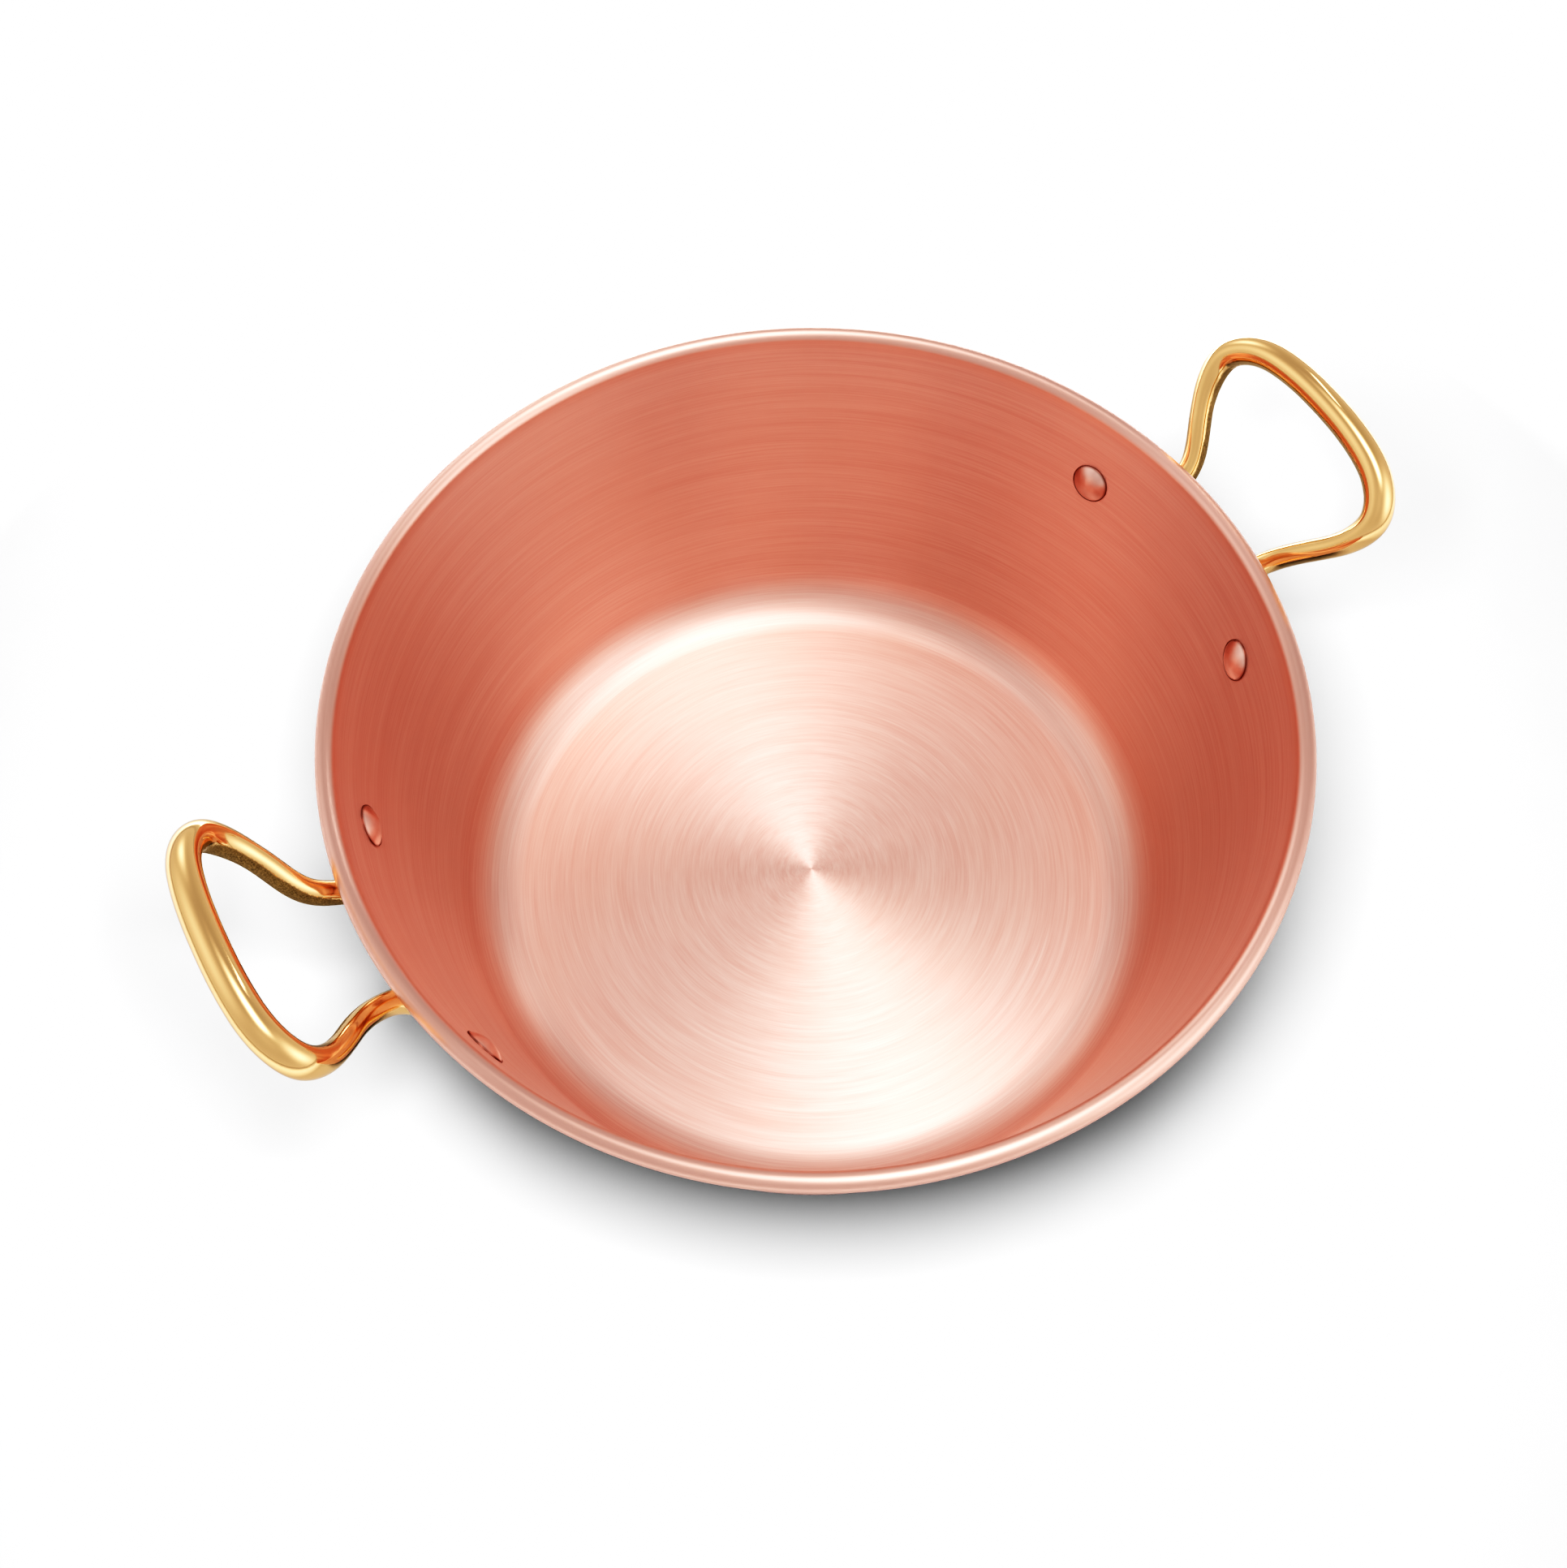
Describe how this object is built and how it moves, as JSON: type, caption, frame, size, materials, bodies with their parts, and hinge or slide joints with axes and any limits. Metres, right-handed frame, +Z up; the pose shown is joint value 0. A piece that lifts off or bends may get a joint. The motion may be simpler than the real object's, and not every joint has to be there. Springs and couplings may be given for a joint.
{
  "type": "jam pan",
  "caption": "Wide round copper jam pan with sloping walls, a rolled rim and raised brass loop handles riveted to opposite sides of its wall.",
  "frame": {"origin": "centre of the underside of the base", "axes": "+Z up along the pan's axis, X through both handles"},
  "size_m": [0.4802, 0.38, 0.1886],
  "materials": {
    "copper": "spun and brushed copper",
    "cast_brass": "cast brass, polished outside and rough in the loop",
    "steel": "plain drawn wire"
  },
  "bodies": {
    "root": {"pan_body": "copper", "rim_wire": "steel", "handle_left": "cast_brass", "handle_right": "cast_brass", "rivet_left_front": "copper", "rivet_left_rear": "copper", "rivet_right_front": "copper", "rivet_right_rear": "copper"}
  },
  "joints": []
}
